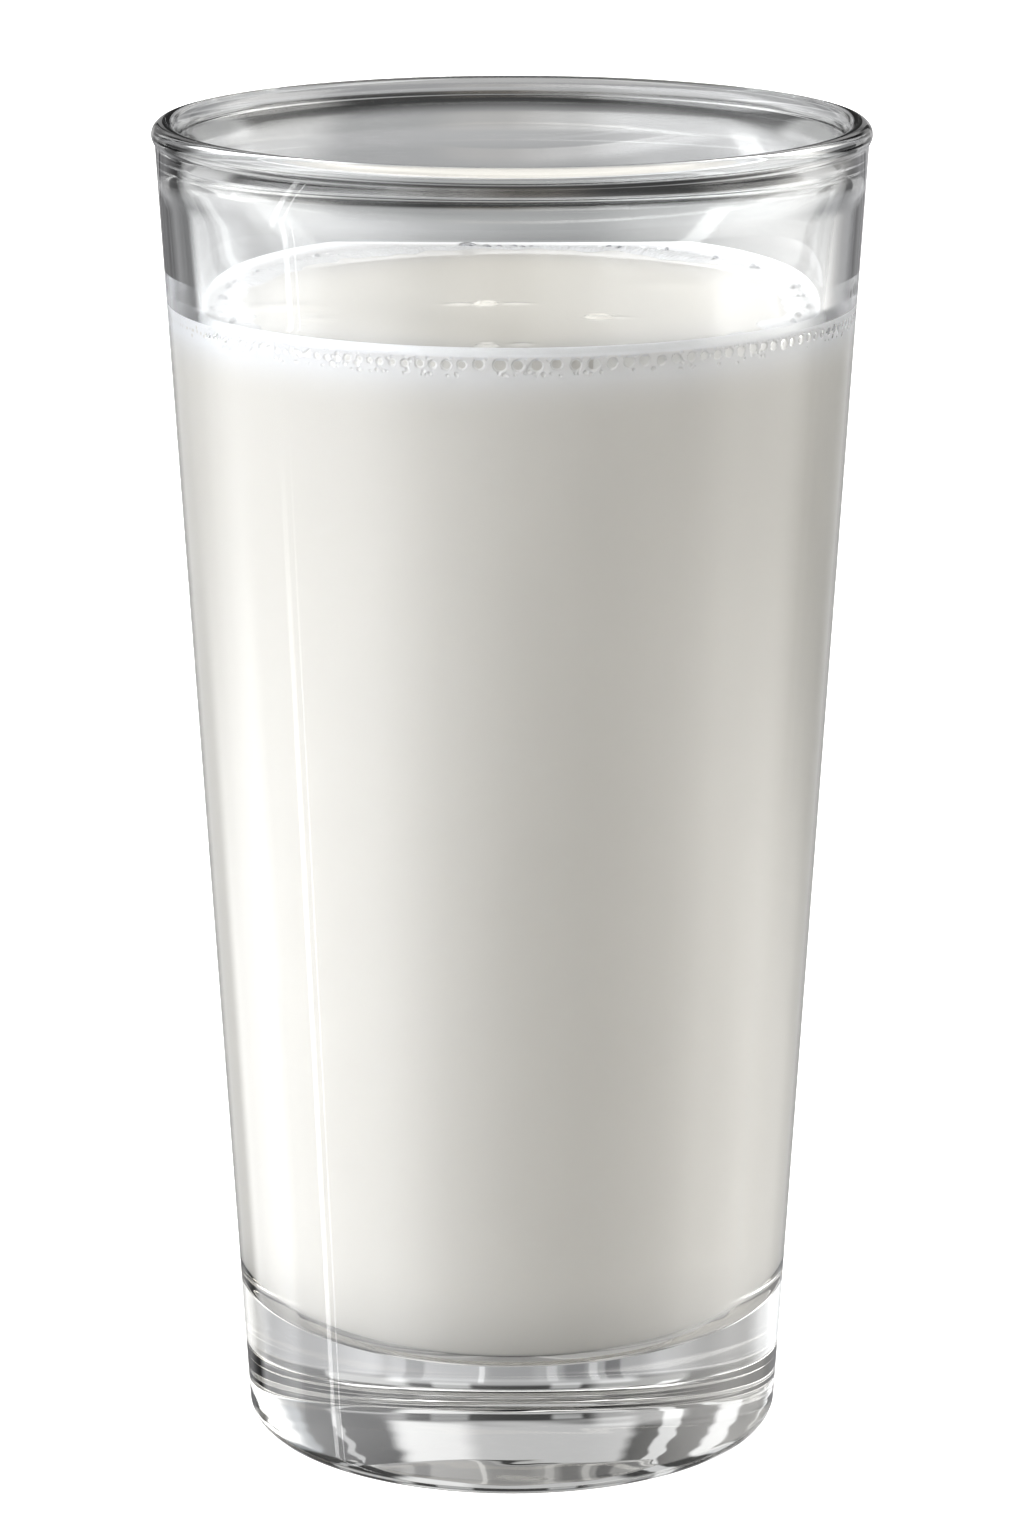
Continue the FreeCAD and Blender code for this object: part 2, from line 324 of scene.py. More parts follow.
def surface_bumps(x, y):
    """Height of small risings on the milk: a burst bubble is a round ridge, a bell of the
    distance from its circle, with a low dome inside and ripples that die away outside;
    between them lie broad soft swellings."""
    craters = ((-2.6, -2.9, 0.75, 0.2, 0.14), (9.0, -10.0, 1.05, 0.18, 0.15),
               (-2.5, -24.6, 0.7, 0.18, 0.14), (-3.6, -3.3, 0.3, 0.16, 0.1))
    swells = ((-24.6, -4.5, 3.4, 0.22, 1.25), (-20.5, -11.0, 2.4, 0.07, 1.25),
              (17.0, 8.0, 4.5, 0.05, 1.25), (-5.6, -3.2, 0.9, 0.12, 2.2),
              (0.4, -3.0, 0.9, 0.1, 2.4), (11.2, -10.3, 0.8, 0.06, 2.2),
              (1.0, -24.0, 0.7, 0.07, 2.2))
    total = 0.01 * MM * np.sin(x / (6.3 * MM) + 1.1) * np.cos(y / (4.7 * MM) + 0.4)
    for at_x, at_y, size, rise, width in craters:
        away = np.hypot((x / MM - at_x) / 1.15, y / MM - at_y)
        total += rise * MM * np.exp(-((away - size) / width) ** 2)
        total += 0.5 * rise * MM * np.clip(1 - (away / size) ** 2, 0, None)
        total += 0.1 * rise * MM * np.cos(7 * (away - size)) * np.exp(-away / (1.6 * size))
    for at_x, at_y, size, rise, drawn_out in swells:
        away = np.hypot((x / MM - at_x) / drawn_out, y / MM - at_y) / size
        total += rise * MM * np.exp(-2 * away ** 2)
    return total


def closer_columns(count, middle, reach, extra):
    """Bearings once round, 1 + extra times as close to each other near a middle bearing."""
    turn = np.linspace(0, TAU, 4001)
    crowd = np.concatenate([[0], np.cumsum(1 + extra * near(turn[1:], middle, reach))])
    return np.interp(np.arange(count) / count * crowd[-1], crowd, turn)


def build_milk(glass, milk, froth):
    """The milk: floor, rounded corner and wall all reach just into the glass, and the open
    top is flat with a few low risings. It ends at the wall inside the froth."""
    walls = Walls(glass)
    level = MILK_HIGH.z
    corner_centre, lean = walls.corner_centre(
        glass.corner, walls.inner_slope, walls.cavity_floor, glass.floor)
    corner_radius = glass.corner + milk.reach
    wall_start = corner_centre + corner_radius * np.array([np.cos(-lean), np.sin(-lean)])
    end_z = level - froth.drop + 0.3 * MM
    wall_end = np.array([walls.inner(end_z) + milk.reach - 0.005 * MM, end_z])
    close_by = wall_end - 0.05 * MM * np.array([walls.inner_slope, 1])
    sunk = (walls.inner(level) - 1.0 * MM, level - 0.05 * MM)
    side = np.concatenate([
        line((0, glass.floor - milk.reach), (corner_centre[0], glass.floor - milk.reach), 10),
        arc(corner_centre, corner_radius, -np.pi / 2, -lean, 32),
        line(wall_start, close_by, 30),
        line(close_by, wall_end, 2),
        line(wall_end, sunk, 3),
    ])
    stops = np.array([26.5, 23, 15.5, 11.5, 6.5, 1.5, 0]) * MM
    steps = (9, 28, 12, 32, 8, 40, 5)
    top = np.concatenate([line((start, level), (end, level), count) for start, end, count
                          in zip([sunk[0], *stops[:-1]], stops, steps)])
    top[0, 1] = sunk[1]
    profile = np.concatenate([side, top, [(0, level)]])
    angle = closer_columns(GLASS_COLUMNS, -72, 34, 1.6)
    radius = np.repeat(profile[:, :1], GLASS_COLUMNS, axis=1)
    height = np.repeat(profile[:, 1:], GLASS_COLUMNS, axis=1)
    is_top = np.arange(len(profile)) >= len(side)
    lift = surface_bumps(radius * np.cos(angle), radius * np.sin(angle))
    height += np.where(is_top[:, None], lift, 0.0)
    piece = turned_mesh("milk_body", radius, height, angle)
    mark_top(piece, level - 0.5 * MM)
    return piece


def mark_top(piece, above):
    """Give the faces that lie above a height the piece's second material."""
    centres = np.empty(len(piece.data.polygons) * 3)
    piece.data.polygons.foreach_get("center", centres)
    high = centres.reshape(-1, 3)[:, 2] > above
    piece.data.polygons.foreach_set("material_index", high.astype(np.int32))


# ---------------------------------------------------------------- shape of the froth


# Bearing in degrees, distance in from the wall and radius, both in millimetres, of the
# large bubble at the far side.
LARGE_BUBBLE = (99.0, 0.95, 1.05)


def near(bearing, middle, reach):
    """1 at the middle bearing, falling away as a bell over reach; all in degrees."""
    away = np.degrees(np.angle(np.exp(1j * (bearing - np.radians(middle)))))
    return np.exp(-(away / reach) ** 2)


def pearl_row(froth):
    """Bearing, height above the milk's level and radius of the bubbles pressed side by side
    against the glass: large at the near side, a little smaller to the right, and small and
    uneven to the left."""
    steps = 1440
    bearing = np.linspace(0, TAU, steps + 1)
    large = (0.62 + 0.42 * near(bearing, -88, 26) + 0.26 * near(bearing, -42, 34)
             - 0.12 * near(bearing, -150, 30) + 0.05 * smooth_noise(bearing, 14, 5, 40))
    per_step = (GLASS_HIGH.x - 4.6 * MM) * TAU / steps / (2.95 * froth.pearl * large)
    passed = np.concatenate([[0], np.cumsum(0.5 * (per_step[1:] + per_step[:-1]))])
    count = int(passed[-1])
    order = (np.arange(count) + 0.16 * hashed(11, count)) / count * passed[-1]
    at = np.interp(order, passed, bearing)
    size = froth.pearl * np.interp(at, bearing, large) * (0.86 + 0.28 * hashed(12, count))
    rise = -0.42 * MM + 0.16 * MM * (hashed(13, count) - 0.5)
    return at, rise, size


def loose_bubbles(froth, count, seed, low, high, middle, reach, sizes):
    """Seeded loose bubbles between two heights, thicker on the ground near a bearing."""
    bearing = hashed(seed, count) * TAU
    keep = hashed(seed + 1, count) < 0.25 + 0.75 * near(bearing, middle, reach)
    rise = low + (high - low) * hashed(seed + 2, count)
    size = froth.pearl * (sizes[0] + (sizes[1] - sizes[0]) * hashed(seed + 3, count) ** 2)
    return bearing[keep], rise[keep], size[keep]


def dimples(angle, along, arc_radius, bubbles):
    """Depth of round hollows on a surface laid out by bearing and by distance along its
    profile: at distance d from a bubble's middle the hollow is sqrt(r^2 - d^2) deep, and
    the deepest one holds. Each bubble is worked out only in the columns near it."""
    columns = len(angle)
    hollow = np.zeros((len(along), columns))
    for bearing, middle, size in zip(*bubbles):
        reach = int(np.ceil(size / arc_radius / TAU * columns)) + 1
        centre = int(round(bearing / TAU * columns))
        close = np.arange(centre - reach, centre + reach + 1) % columns
        across = np.angle(np.exp(1j * (angle[close] - bearing))) * arc_radius
        inside = size ** 2 - across ** 2 - (along[:, None] - middle) ** 2
        hollow[:, close] = np.maximum(hollow[:, close], np.sqrt(np.clip(inside, 0, None)))
    return hollow


def build_lace(glass, milk, froth):
    """The bubbly band behind the glass, a closed band whose outer face lies just inside the
    wall. A bubble that presses on the glass leaves a shallow round hollow there. The face
    carries two values for its colour. "bubble" is painted shade: 1 inside a bubble's
    hollow, and up to 0.5 on the near side round bearing -80, away from the outlines,
    fading out towards the bottom of the band. "outline" is 1 on the rim of a bubble, where
    the liquid round it is thick, and on the right front it is also 1 inside the bubbles, a
    painted highlight where light shines through them; there they get no painted shade."""
    walls = Walls(glass)
    level = MILK_HIGH.z
    angle = even_bearings(LACE_COLUMNS)
    rise = np.concatenate([[-froth.drop],
                           np.linspace(-froth.drop + 0.01 * MM, froth.overlap, 31)])
    z = level + rise[:, None] + np.zeros(LACE_COLUMNS)
    at = walls.inner(level)
    pearls = pearl_row(froth)
    layers = (
        loose_bubbles(froth, 260, 21, -1.6 * MM, -1.2 * MM, -95, 40, (0.2, 0.42)),
        loose_bubbles(froth, 380, 31, 0.2 * MM, 0.3 * MM, -70, 60, (0.18, 0.3)),
        loose_bubbles(froth, 420, 41, -1.1 * MM, 0.1 * MM, -158, 34, (0.3, 0.62)),
    )
    groups = (pearls, *layers)
    outer = [dimples(angle, rise, at, group) for group in groups]
    inner = [dimples(angle, rise, at, (group[0], group[1], group[2] - 0.13 * MM))
             for group in groups]
    depth = np.max(outer, axis=0) * (near(angle, -180, 26) < np.exp(-1))
    bubble = np.clip(np.max(inner, axis=0) / (0.14 * MM), 0, 1)
    outline = np.clip(depth / (0.2 * MM), 0, 1) * (1 - bubble)
    radius = walls.inner(z) + milk.reach - np.where(depth > 0, milk.reach + 0.12 * depth, 0)
    back = np.array([1.2, 1.3, 1.2])[:, None] * MM + np.zeros(LACE_COLUMNS)
    back_z = level + np.array([0.8 * froth.overlap, 0, -0.8 * froth.drop])[:, None]
    radius = np.concatenate([radius, at - back])
    height = np.concatenate([z, back_z + np.zeros(LACE_COLUMNS)])
    piece = turned_mesh("froth_lace", radius, height, angle, closed=True)
    # Painted highlight: on the right front the bubbles are made white, as if lit through.
    painted_lit_bubbles = near(angle, -25, 50) > np.exp(-1.05)
    # Painted shade on the near side of the band, fading out towards its bottom.
    shade = 0.5 * near(angle, -80, 45) * np.clip((rise[:, None] / MM + 2.1) / 1.2, 0, 1)
    # Painted shade in the bubbles' hollows, except on the right front, and on the near side.
    painted_shade_value = np.maximum(bubble * np.where(painted_lit_bubbles, 0, 1), shade * (1 - outline))
    write_value(piece, "bubble", radius, angle, height, painted_shade_value)
    write_value(piece, "outline", radius, angle, height, np.maximum(outline, bubble * painted_lit_bubbles))
    return piece


def write_value(piece, name, radius, angle, height, values):
    """Put one value a point on the mesh: the grid's values, carried to its points, which
    merging has left in the grid's order; rows without values have 0."""
    full = np.zeros(radius.shape)
    full[:len(values)] = values
    if len(piece.data.vertices) != full.size:
        raise RuntimeError(f"{piece.name}: {len(piece.data.vertices)} points, not {full.size}")
    layer = piece.data.attributes.new(name, "FLOAT", "POINT")
    layer.data.foreach_set("value", full.astype(np.float32).ravel())


def ring_height(inward, angle, froth):
    """Height of the froth's top over the milk at a distance inward from the wall: a hollow
    curve climbs the wall; inside it lies a low ridge of bubbles drawn out towards the
    middle like combed strands, which dies out at the ring's inner edge."""
    climb = froth.rise * np.clip(1 - inward / (1.5 * MM), 0, 1) ** 2
    start = np.clip((inward - 0.5 * MM) / (0.9 * MM), 0, 1)
    edge = 0.5 * MM * smooth_noise(angle, 7, 8, 60)
    end = np.clip((froth.width - 0.3 * MM + edge - inward) / (1.5 * MM), 0, 1)
    ridge = start ** 2 * (3 - 2 * start) * end ** 2 * (3 - 2 * end)
    strand = angle * 138 + 1.4 * smooth_noise(angle, 8, 6, 40) + 90 * inward / froth.width * 0.02
    strands = np.abs(np.sin(strand)) ** 0.7
    swell = 0.5 + 0.5 * smooth_noise(angle, 9, 30, 120, 0.2)
    reach_in = np.clip((inward - 1.0 * MM) / (0.8 * MM), 0, 1)
    comb = reach_in * (0.16 * strands + 0.07 * np.clip(swell, 0, 1.4))
    return climb + ridge * MM * (0.2 + comb) - 0.06 * MM * np.clip(inward / froth.width, 0, 1)


def build_froth(glass, milk, froth):
    """The froth ring: its outer face touches the wall above the bubbly band, its top is
    ring_height() with small open bubbles, and its underside runs back through the milk."""
    walls = Walls(glass)
    level = MILK_HIGH.z
    angle = even_bearings(RING_COLUMNS)
    part = np.linspace(0, 1, 8)[:, None]
    face_z = level + 0.8 * froth.overlap + part * (froth.rise - 0.8 * froth.overlap) + 0 * angle
    face_radius = walls.inner(face_z) + milk.reach - 0.55 * MM * part ** 1.5
    inward = np.concatenate([np.linspace(0.05, 1.0, 10), np.linspace(1.08, 2.7, 19),
                             np.linspace(2.85, froth.width / MM + 0.2, 13)]) * MM
    top_z = level + ring_height(inward[:, None], angle[None, :], froth)
    small = loose_bubbles(froth, 330, 51, 1.0 * MM, 2.3 * MM, 75, 70, (0.3, 0.62))
    hollow = dimples(angle, inward, walls.inner(level) - 1.6 * MM, small)
    bearing, from_wall, size = LARGE_BUBBLE
    arc_radius = walls.inner(level) - from_wall * MM
    open_bubble = dimples(angle, inward, arc_radius,
                          ([np.radians(bearing)], [from_wall * MM], [size * 0.92 * MM]))
    beside = np.angle(np.exp(1j * (angle - np.radians(bearing))))
    away = np.hypot(beside * arc_radius, inward[:, None] - from_wall * MM) / MM
    rim = 0.22 * MM * np.exp(-((away - 1.15 * size) / 0.26) ** 2)
    top_z = top_z - 0.9 * hollow - 1.2 * open_bubble + rim
    edge_radius = walls.inner(level + froth.rise) + milk.reach - 0.55 * MM
    top_radius = edge_radius - inward[:, None] + np.zeros(RING_COLUMNS)
    under = np.array([[4.6], [2.4], [0.4]]) * MM + np.zeros(RING_COLUMNS)
    under_z = level + np.array([[-0.35], [-1.7], [-0.9]]) * MM + np.zeros(RING_COLUMNS)
    radius = np.concatenate([face_radius, top_radius, edge_radius - under])
    height = np.concatenate([face_z, top_z, under_z])
    return turned_mesh("froth_ring", radius, height, angle, closed=True)


def build_bubbles(glass, froth):
    """Clear domed bubbles on the froth: each is a thin shell, a sphere of radius r outside
    and of radius r - film inside, closed at both poles."""
    walls = Walls(glass)
    count = 46
    placed = np.array([LARGE_BUBBLE, (95.2, 1.0, 0.46), (92.6, 1.1, 0.36), (89.6, 1.2, 0.4)])
    bearing = np.concatenate([np.radians(placed[:, 0]), hashed(61, count) * TAU])
    inward = np.concatenate([placed[:, 1], 1.1 + 1.6 * hashed(62, count)]) * MM
    size = np.concatenate([placed[:, 2], 0.2 + 0.2 * hashed(63, count)]) * MM
    level = MILK_HIGH.z
    z = level + ring_height(inward, bearing, froth) + 0.1 * size
    z[0] = level + 0.35 * MM
    rows, columns = 13, 20
    polar = np.linspace(0, np.pi, rows)[:, None]
    turn = np.arange(columns) / columns * TAU
    unit = np.stack([np.sin(polar) * np.cos(turn), np.sin(polar) * np.sin(turn),
                     np.cos(polar) + 0 * turn], -1).reshape(-1, 3)
    index = np.arange(rows * columns).reshape(rows, columns)
    quads = np.stack([index[:-1], index[1:], np.roll(index[1:], -1, 1),
                      np.roll(index[:-1], -1, 1)], -1).reshape(-1, 4)
    away = walls.inner(level) - inward
    centres = np.stack([away * np.cos(bearing), away * np.sin(bearing), z], -1)
    film = 0.05
    outside = centres[:, None] + unit * size[:, None, None]
    inside = centres[:, None] + unit * size[:, None, None] * (1 - film)
    points = np.concatenate([outside, inside], 1)
    both = np.concatenate([quads, quads[:, ::-1] + rows * columns])
    shift = np.arange(len(size))[:, None, None] * 2 * rows * columns
    return mesh_from("froth_bubbles", points.reshape(-1, 3), (both + shift).reshape(-1, 4))


# ---------------------------------------------------------------- materials


def new_material(name):
    """A material with a Principled shader; returns the material, its tree and the shader."""
    material = bpy.data.materials.new(name)
    material.use_nodes = True
    tree = material.node_tree
    shader = next(node for node in tree.nodes if node.type == "BSDF_PRINCIPLED")
    return material, tree, shader


def object_noise(tree, scale, detail=3.0, stretch=(1, 1, 1)):
    """Noise on Object coordinates, in units per metre."""
    place = tree.nodes.new("ShaderNodeTexCoord")
    mapping = tree.nodes.new("ShaderNodeMapping")
    noise = tree.nodes.new("ShaderNodeTexNoise")
    mapping.inputs["Scale"].default_value = stretch
    noise.inputs["Scale"].default_value = scale
    noise.inputs["Detail"].default_value = detail
    tree.links.new(place.outputs["Object"], mapping.inputs["Vector"])
    tree.links.new(mapping.outputs["Vector"], noise.inputs["Vector"])
    return noise


def blend_colours(tree, factor, low, high, start=0.35, end=0.65):
    """A colour that goes from low to high as the factor goes from start to end."""
    ramp = tree.nodes.new("ShaderNodeValToRGB")
    ramp.color_ramp.elements[0].position = start
    ramp.color_ramp.elements[1].position = end
    ramp.color_ramp.elements[0].color = (*low, 1)
    ramp.color_ramp.elements[1].color = (*high, 1)
    tree.links.new(factor, ramp.inputs["Fac"])
    return ramp.outputs["Color"]


def between(tree, value, start, end, smooth=False):
    """0 where the value is at start and 1 where it is at end, straight or eased."""
    spread = tree.nodes.new("ShaderNodeMapRange")
    if smooth:
        spread.interpolation_type = "SMOOTHSTEP"
    spread.inputs["From Min"].default_value = start
    spread.inputs["From Max"].default_value = end
    tree.links.new(value, spread.inputs["Value"])
    return spread.outputs["Result"]


def add_bump(tree, shader, height, distance, strength=1.0):
    """Let a value raise the surface in the shader, on top of the real shape."""
    bump = tree.nodes.new("ShaderNodeBump")
    bump.inputs["Strength"].default_value = strength
    bump.inputs["Distance"].default_value = distance
    tree.links.new(height, bump.inputs["Height"])
    tree.links.new(bump.outputs["Normal"], shader.inputs["Normal"])


def glass_material(glass):
    """Clear glass with a faint upright waviness from drawing and pressing."""
    material, tree, shader = new_material("clear_glass_looks")
    shader.inputs["Roughness"].default_value = 0.0
    shader.inputs["IOR"].default_value = GLASS_IOR
    shader.inputs["Transmission Weight"].default_value = 1.0
    noise = object_noise(tree, 60.0, 2.0, (1, 1, 0.25))
    shade = tuple(0.985 * value for value in glass.tint)
    colour = blend_colours(tree, noise.outputs["Fac"], shade, tuple(glass.tint))
    tree.links.new(colour, shader.inputs["Base Color"])
    add_bump(tree, shader, noise.outputs["Fac"], 0.02 * MM, 0.6)
    return material


def milk_side_material(milk, froth, name="milk_side_looks"):
    """Milk against the glass: warm white, whiter and cooler towards the froth. Where it
    curves away from the eye more than the glass lets light through, it mirrors the glass
    round it instead."""
    material, tree, shader = new_material(name)
    noise = object_noise(tree, 35.0)
    low = tuple(0.985 * value for value in milk.side_colour)
    colour = blend_colours(tree, noise.outputs["Fac"], low, tuple(milk.side_colour))
    place = tree.nodes.new("ShaderNodeTexCoord")
    split = tree.nodes.new("ShaderNodeSeparateXYZ")
    tree.links.new(place.outputs["Object"], split.inputs["Vector"])
    rising = between(tree, split.outputs["Z"], MILK_HIGH.z - 6.5 * MM, MILK_HIGH.z - 1.2 * MM)
    frothy = math_node(tree, "POWER", rising, 2.2)
    colour = mix_colours(tree, frothy, colour, tuple(froth.colour))
    tree.links.new(colour, shader.inputs["Base Color"])
    shader.inputs["Roughness"].default_value = 0.02
    shader.inputs["Specular IOR Level"].default_value = 0.0
    fresnel = tree.nodes.new("ShaderNodeFresnel")
    fresnel.inputs["IOR"].default_value = MILK_IOR / GLASS_IOR
    tree.links.new(fresnel.outputs[0], shader.inputs["Metallic"])
    return material


def mix_colours(tree, factor, first, second):
    """A colour between two; each is a colour or another node's output."""
    mix = tree.nodes.new("ShaderNodeMix")
    mix.data_type = "RGBA"
    tree.links.new(factor, mix.inputs[0])
    for socket, value in ((mix.inputs[6], first), (mix.inputs[7], second)):
        if isinstance(value, tuple):
            socket.default_value = (*value, 1)
        else:
            tree.links.new(value, socket)
    return mix.outputs[2]


def lace_material(milk, froth):
    """The bubbly band: froth that runs into the milk below it, with painted shade that greys
    the bubbles' hollows and the near side, and whiter outlines round the bubbles, which on
    the right front also paint a highlight into the bubbles themselves."""
    material = milk_side_material(milk, froth, "froth_lace_looks")
    tree = material.node_tree
    shader = next(node for node in tree.nodes if node.type == "BSDF_PRINCIPLED")
    base = shader.inputs["Base Color"].links[0].from_socket
    # "bubble" greys with painted shade; "outline" whitens the thick liquid round a bubble and
    # paints a highlight into the bubbles on the right front.
    for name, colour in (("bubble", (0.78, 0.765, 0.745)), ("outline", (1.0, 1.0, 1.0))):
        value = tree.nodes.new("ShaderNodeAttribute")
        value.attribute_name = name
        base = mix_colours(tree, value.outputs["Fac"], base, colour)
    tree.links.new(base, shader.inputs["Base Color"])
    return material


def milk_top_material(milk):
    """The open milk surface: warm white with a wet shine, darkened towards the wall from 18 to
    30 mm out as painted shade.
    """
    material, tree, shader = new_material("milk_top_looks")
    noise = object_noise(tree, 160.0)
    place = tree.nodes.new("ShaderNodeTexCoord")
    # Painted shade: the milk's surface grows darker towards the glass wall.
    rim_shade = between(tree, from_axis(tree, place), 18 * MM, 30 * MM, smooth=True)
    mixed = math_node(tree, "ADD", rim_shade,
                      math_node(tree, "MULTIPLY", noise.outputs["Fac"], 0.15))
    colour = blend_colours(tree, mixed, tuple(milk.top_colour), (0.64, 0.63, 0.615), 0.1, 1.0)
    tree.links.new(colour, shader.inputs["Base Color"])
    shader.inputs["Roughness"].default_value = 0.06
    shader.inputs["IOR"].default_value = MILK_IOR
    add_bump(tree, shader, noise.outputs["Fac"], 0.02 * MM, 0.2)
    return material


def froth_material(froth):
    """Froth ring: bluish white on the face that leans on the glass, and darkened to 0.66 of
    that colour on the open top, a painted shade where the top catches the light; with fine
    cells."""
    material, tree, shader = new_material("froth_looks")
    place = tree.nodes.new("ShaderNodeTexCoord")
    # Painted shade: away from the wall the froth's colour falls to 0.66 of itself.
    at_wall = between(tree, from_axis(tree, place),
                      FROTH_HIGH.x - 1.1 * MM, FROTH_HIGH.x - 0.6 * MM)
    low = tuple(0.66 * value for value in froth.colour)
    colour = blend_colours(tree, at_wall, low, tuple(froth.colour), 0.0, 1.0)
    tree.links.new(colour, shader.inputs["Base Color"])
    cells = tree.nodes.new("ShaderNodeTexVoronoi")
    cells.inputs["Scale"].default_value = 2600.0
    tree.links.new(place.outputs["Object"], cells.inputs["Vector"])
    shader.inputs["Roughness"].default_value = 0.22
    shader.inputs["IOR"].default_value = MILK_IOR
    add_bump(tree, shader, cells.outputs["Distance"], 0.05 * MM, 0.4)
    return material


def from_axis(tree, place):
    """Distance from the glass's axis."""
    flat = tree.nodes.new("ShaderNodeVectorMath")
    flat.operation = "MULTIPLY"
    flat.inputs[1].default_value = (1, 1, 0)
    out = tree.nodes.new("ShaderNodeVectorMath")
    out.operation = "LENGTH"
    tree.links.new(place.outputs["Object"], flat.inputs[0])
    tree.links.new(flat.outputs[0], out.inputs[0])
    return out.outputs["Value"]


def film_material():
    """Liquid film of a bubble, tinted grey as painted shade on what is seen through it, with a
    faint unevenness.
    """
    material, tree, shader = new_material("bubble_film_looks")
    noise = object_noise(tree, 900.0, 1.0)
    # Painted shade: the film is tinted grey rather than left clear.
    colour = blend_colours(tree, noise.outputs["Fac"], (0.72, 0.73, 0.75), (0.8, 0.8, 0.81))
    tree.links.new(colour, shader.inputs["Base Color"])
    shader.inputs["Roughness"].default_value = 0.0
    shader.inputs["IOR"].default_value = 1.33
    shader.inputs["Transmission Weight"].default_value = 1.0
    return material


# ---------------------------------------------------------------- studio


# Each light of the tent round the glass: where its middle lies, in degrees round Z from the
# near side towards +X, half its width, the width of its soft edge, its lowest and highest
# elevation, how bright it is, and its colour. A light below 0 is a dark screen.
TENT = (
    ("top", 0, 180, 1, 61, 100, 1.8, (1.0, 0.985, 0.96)),
    ("left wall", -78, 22, 34, -26, 14, 2.15, (0.985, 0.99, 1.0)),
    ("left low", -62, 24, 46, -30, -20, 1.7, (0.985, 0.99, 1.0)),
    ("key", -68, 22, 24, 17, 39, 6.0, (0.985, 0.99, 1.0)),
    ("left edge low", -122, 12, 10, -25, -19, 1.8, (0.985, 0.99, 1.0)),
    ("left front", -24, 4, 24, 17, 39, 4.2, (1.0, 0.98, 0.95)),
    ("front", 6, 6, 24, 17, 39, 1.55, (1.0, 0.88, 0.73)),
    ("key strip", -85.5, 0.9, 0.5, -50, -21, 5.0, (1.0, 1.0, 1.0)),
    ("thin strip", -81.5, 0.15, 0.15, -50, -21, 6.0, (1.0, 1.0, 1.0)),
    ("fill", 94, 10, 26, -26, 14, 1.85, (1.0, 0.985, 0.955)),
    ("fill high", 98, 18, 20, 17, 40, 3.8, (1.0, 0.985, 0.955)),
    ("right low", 94, 26, 44, -29, -20, 2.1, (1.0, 0.985, 0.955)),
    ("back low", 180, 20, 16, -45, -10, 0.32, (0.98, 0.98, 1.0)),
    ("back mid", 180, 16.5, 3, -5, -2, 0.38, (0.99, 0.99, 1.0)),
    ("back right pale", 169, 6.2, 2.2, -45, -7, 0.16, (0.98, 0.98, 1.0)),
    ("back strip right", 175.8, 0.25, 0.3, -45, -6, 0.3, (1.0, 1.0, 1.0)),
    ("back left pale", -175.3, 0.9, 1.6, -45, -7, 0.06, (0.98, 0.98, 1.0)),
    ("back left band", -174.4, 0.5, 0.5, -45, -9, 0.16, (1.0, 1.0, 1.0)),
    ("left dark", -171, 1, 1.2, -45, -9, -0.12, (1.0, 1.0, 1.0)),
    ("side dark left", -165.2, 0.9, 0.7, -45, -9, -0.2, (1.0, 1.0, 1.0)),
    ("side dark right", 165.8, 1.1, 0.8, -45, -9, -0.2, (1.0, 1.0, 1.0)),
    ("left strip", -168.3, 0.4, 0.5, -45, -9, 0.22, (1.0, 1.0, 1.0)),
    ("left edge", -140, 16, 5, -18, -8, 0.15, (0.98, 0.98, 1.0)),
    ("right edge", 142, 16, 5, -18, -8, 0.25, (0.98, 0.98, 1.0)),
    ("back high", 180, 16.5, 3, 17, 50, 0.5, (1.0, 0.995, 0.99)),
    ("left mid", -160, 7, 3, -2, 14, 0.32, (1.0, 0.995, 0.99)),
    ("right mid", 157, 7, 2, -2, 8, 0.5, (1.0, 0.995, 0.99)),
    ("gap left", -172.6, 1.6, 1, 1, 8, 0.36, (1.0, 1.0, 1.0)),
    ("gap right", 171.6, 2.2, 1, 1, 8, 0.4, (1.0, 1.0, 1.0)),
    ("high right glow", 168.5, 3.5, 4, 16, 50, 0.32, (1.0, 0.99, 0.98)),
    ("high strip", -154.6, 1.6, 1, 10, 50, 0.6, (1.0, 1.0, 1.0)),
    ("high left", -137, 3.5, 3, 16, 50, 0.75, (1.0, 1.0, 1.0)),
    ("high strip right", 150.7, 0.8, 0.8, 16, 50, 0.4, (1.0, 1.0, 1.0)),
    ("high right", 132, 5, 4, 16, 40, 0.3, (0.9, 0.95, 1.0)),
)


# Degrees over which each light fades above and below.
TENT_FADE = 6


def window(tree, value, middle, half, soft):
    """1 where the value is within half of the middle, falling smoothly to 0 over soft."""
    away = math_node(tree, "ABSOLUTE", math_node(tree, "SUBTRACT", value, middle))
    return between(tree, away, half + soft, half, smooth=True)


def math_node(tree, operation, first, second=None):
    """One Math node; each input is a number or another node's output."""
    node = tree.nodes.new("ShaderNodeMath")
    node.operation = operation
    for socket, value in zip(node.inputs, (first, second)):
        if isinstance(value, (int, float)):
            socket.default_value = value
        elif value is not None:
            tree.links.new(value, socket)
    return node.outputs[0]


def tent_light(tree, flat, height, light):
    """One light: its colour times a window round Z times a window in elevation."""
    name, turn, half, soft, low, high, power, colour = light
    turn = np.radians(turn)
    dot = tree.nodes.new("ShaderNodeVectorMath")
    dot.operation = "DOT_PRODUCT"
    dot.inputs[1].default_value = (np.sin(turn), -np.cos(turn), 0)
    tree.links.new(flat, dot.inputs[0])
    away = math_node(tree, "ARCCOSINE", dot.outputs["Value"])
    round_z = window(tree, away, 0.0, float(np.radians(half)), float(np.radians(soft)))
    middle, reach = np.radians((low + high) / 2), np.radians((high - low) / 2)
    fade = float(np.radians(TENT_FADE))
    upright = window(tree, height, float(middle), float(reach), fade)
    weight = math_node(tree, "MULTIPLY", math_node(tree, "MULTIPLY", round_z, upright), power)
    scale = tree.nodes.new("ShaderNodeVectorMath")
    scale.operation = "SCALE"
    scale.label = name
    scale.inputs[0].default_value = colour
    tree.links.new(weight, scale.inputs["Scale"])
    return scale.outputs[0]


